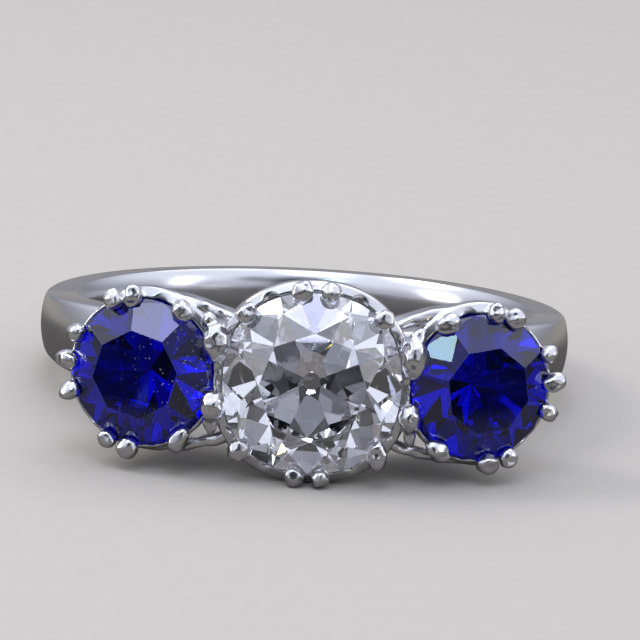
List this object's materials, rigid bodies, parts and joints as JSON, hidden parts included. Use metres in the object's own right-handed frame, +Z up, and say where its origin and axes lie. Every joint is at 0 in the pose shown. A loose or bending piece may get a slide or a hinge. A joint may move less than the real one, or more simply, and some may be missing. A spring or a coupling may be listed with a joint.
{
  "type": "three stone ring",
  "caption": "Finger ring with a polished band and a row of stones: an old cut colourless centre stone between round blue side stones, in coronet collets with rounded claws.",
  "frame": {"origin": "middle of the bounding box on the surface that the ring lies on", "axes": "+Z up from that surface; the head points toward -Y and the back of the band toward +Y; +X runs along the row of stones, to the right as seen from the head"},
  "size_m": [0.0198, 0.0231, 0.0073],
  "materials": {
    "platinum": "polished",
    "diamond": "polished facets",
    "sapphire": "polished facets"
  },
  "bodies": {
    "root": {"mount": "platinum", "centre_diamond": "diamond", "left_sapphire": "sapphire", "right_sapphire": "sapphire"}
  },
  "joints": []
}
